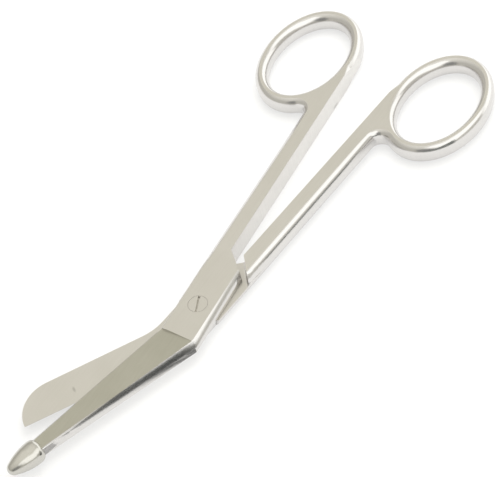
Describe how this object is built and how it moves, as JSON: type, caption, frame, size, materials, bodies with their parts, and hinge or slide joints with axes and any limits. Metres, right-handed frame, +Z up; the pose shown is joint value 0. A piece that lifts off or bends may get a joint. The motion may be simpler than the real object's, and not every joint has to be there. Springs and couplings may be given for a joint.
{
  "type": "bandage scissors",
  "caption": "Angled bandage scissors: a probe-tipped blade laps over a blunt-ended one on a slotted pivot screw, with slim shanks and oval finger rings.",
  "frame": {"origin": "pivot axis at the underside of the joint, on the surface the scissors lie on", "axes": "+X from the pivot towards the finger rings, between the two handles; +Y towards the side the blades bend to, where the handle of the probe half lies; +Z up along the pivot axis, out of the screw's head"},
  "size_m": [0.1411, 0.0578, 0.0059],
  "materials": {
    "satin_steel": "satin ground flats, polished sides",
    "screw_steel": "satin ground"
  },
  "bodies": {
    "blunt_body": {"blunt_half": "satin_steel", "pivot_screw": "screw_steel"},
    "probe_body": {"probe_half": "satin_steel"}
  },
  "joints": [
    {"name": "blade_pivot", "type": "hinge", "parent": "blunt_body", "child": "probe_body", "pos_m": [0, 0, 0.0025], "axis": [0, 0, 1], "range_deg": [-9.6, 40]}
  ]
}
